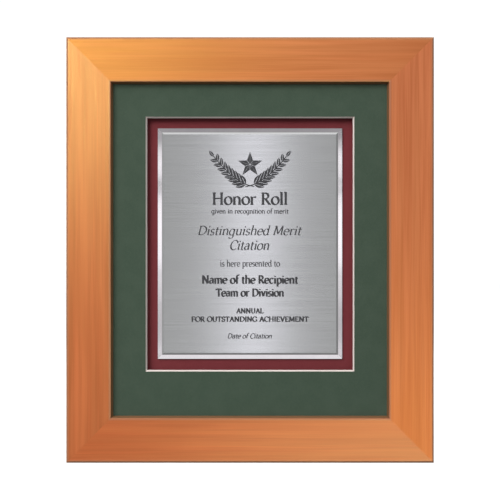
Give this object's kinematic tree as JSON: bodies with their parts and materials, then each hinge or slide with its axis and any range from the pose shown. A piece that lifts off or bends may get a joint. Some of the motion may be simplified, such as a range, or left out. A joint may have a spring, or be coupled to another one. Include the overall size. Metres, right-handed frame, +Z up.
{
  "type": "framed award plaque",
  "caption": "Portrait award plaque: flat mitred wooden frame, bevelled green mat over a burgundy one, and a raised brushed metal plate; hangs from ring hangers.",
  "frame": {"origin": "centre of the frame's outline on the wall plane, where the four bumpers' flat ends lie", "axes": "+Z up, +X to the viewer's right, +Y back into the wall, so the front faces -Y"},
  "size_m": [0.4032, 0.0271, 0.4666],
  "materials": {
    "rail_wood": "satin copper-gold stain over fine straight grain",
    "green_mat": "matt dark green face paper, white core showing at the bevel",
    "burgundy_mat": "matt burgundy face paper",
    "foam_board": "matt white paper over foam",
    "hardboard": "smooth brown hardboard",
    "polished_metal": "polished",
    "brushed_metal": "horizontal fine brushing, satin",
    "tape": "white double-sided tape",
    "fastener_steel": "zinc plated",
    "turn_button_steel": "bright zinc plate",
    "hanger_steel": "nickel plated",
    "bumper_rubber": "matt black"
  },
  "bodies": {
    "frame": {"frame_rail_top": "rail_wood", "frame_rail_bottom": "rail_wood", "frame_rail_left": "rail_wood", "frame_rail_right": "rail_wood", "corner_v_nails": "fastener_steel", "top_mat": "green_mat", "mat_spacer_top": "foam_board", "mat_spacer_bottom": "foam_board", "mat_spacer_left": "foam_board", "mat_spacer_right": "foam_board", "inner_mat": "burgundy_mat", "filler_board": "foam_board", "backing_board": "hardboard", "plate_backer": "polished_metal", "engraved_plate": "brushed_metal", "plate_tape": "tape", "backer_tape": "tape", "turn_button_screws": "fastener_steel", "hanger_screws": "fastener_steel", "hanger_strap_left": "hanger_steel", "hanger_strap_right": "hanger_steel", "wall_bumper_top_left": "bumper_rubber", "wall_bumper_bottom_left": "bumper_rubber", "wall_bumper_top_right": "bumper_rubber", "wall_bumper_bottom_right": "bumper_rubber"},
    "button_left_upper": {"turn_button_left_upper": "turn_button_steel"},
    "button_left_lower": {"turn_button_left_lower": "turn_button_steel"},
    "button_right_upper": {"turn_button_right_upper": "turn_button_steel"},
    "button_right_lower": {"turn_button_right_lower": "turn_button_steel"},
    "button_top": {"turn_button_top": "turn_button_steel"},
    "button_bottom": {"turn_button_bottom": "turn_button_steel"},
    "ring_left": {"hanger_ring_left": "hanger_steel"},
    "ring_right": {"hanger_ring_right": "hanger_steel"}
  },
  "joints": [
    {"name": "button_left_upper_turn", "type": "hinge", "parent": "frame", "child": "button_left_upper", "pos_m": [-0.16875, -0.0044, 0.06], "axis": [0, 1, 0], "continuous": true},
    {"name": "button_left_lower_turn", "type": "hinge", "parent": "frame", "child": "button_left_lower", "pos_m": [-0.16875, -0.0044, -0.06], "axis": [0, 1, 0], "continuous": true},
    {"name": "button_right_upper_turn", "type": "hinge", "parent": "frame", "child": "button_right_upper", "pos_m": [0.16875, -0.0044, 0.06], "axis": [0, 1, 0], "continuous": true},
    {"name": "button_right_lower_turn", "type": "hinge", "parent": "frame", "child": "button_right_lower", "pos_m": [0.16875, -0.0044, -0.06], "axis": [0, 1, 0], "continuous": true},
    {"name": "button_top_turn", "type": "hinge", "parent": "frame", "child": "button_top", "pos_m": [0, -0.0044, 0.2005], "axis": [0, 1, 0], "continuous": true},
    {"name": "button_bottom_turn", "type": "hinge", "parent": "frame", "child": "button_bottom", "pos_m": [0, -0.0044, -0.2005], "axis": [0, 1, 0], "continuous": true},
    {"name": "ring_left_swing", "type": "hinge", "parent": "frame", "child": "ring_left", "pos_m": [-0.18018, -0.0029, 0.112], "axis": [-1, 0, 0], "range_deg": [0, 187]},
    {"name": "ring_right_swing", "type": "hinge", "parent": "frame", "child": "ring_right", "pos_m": [0.18018, -0.0029, 0.112], "axis": [-1, 0, 0], "range_deg": [0, 187]}
  ]
}
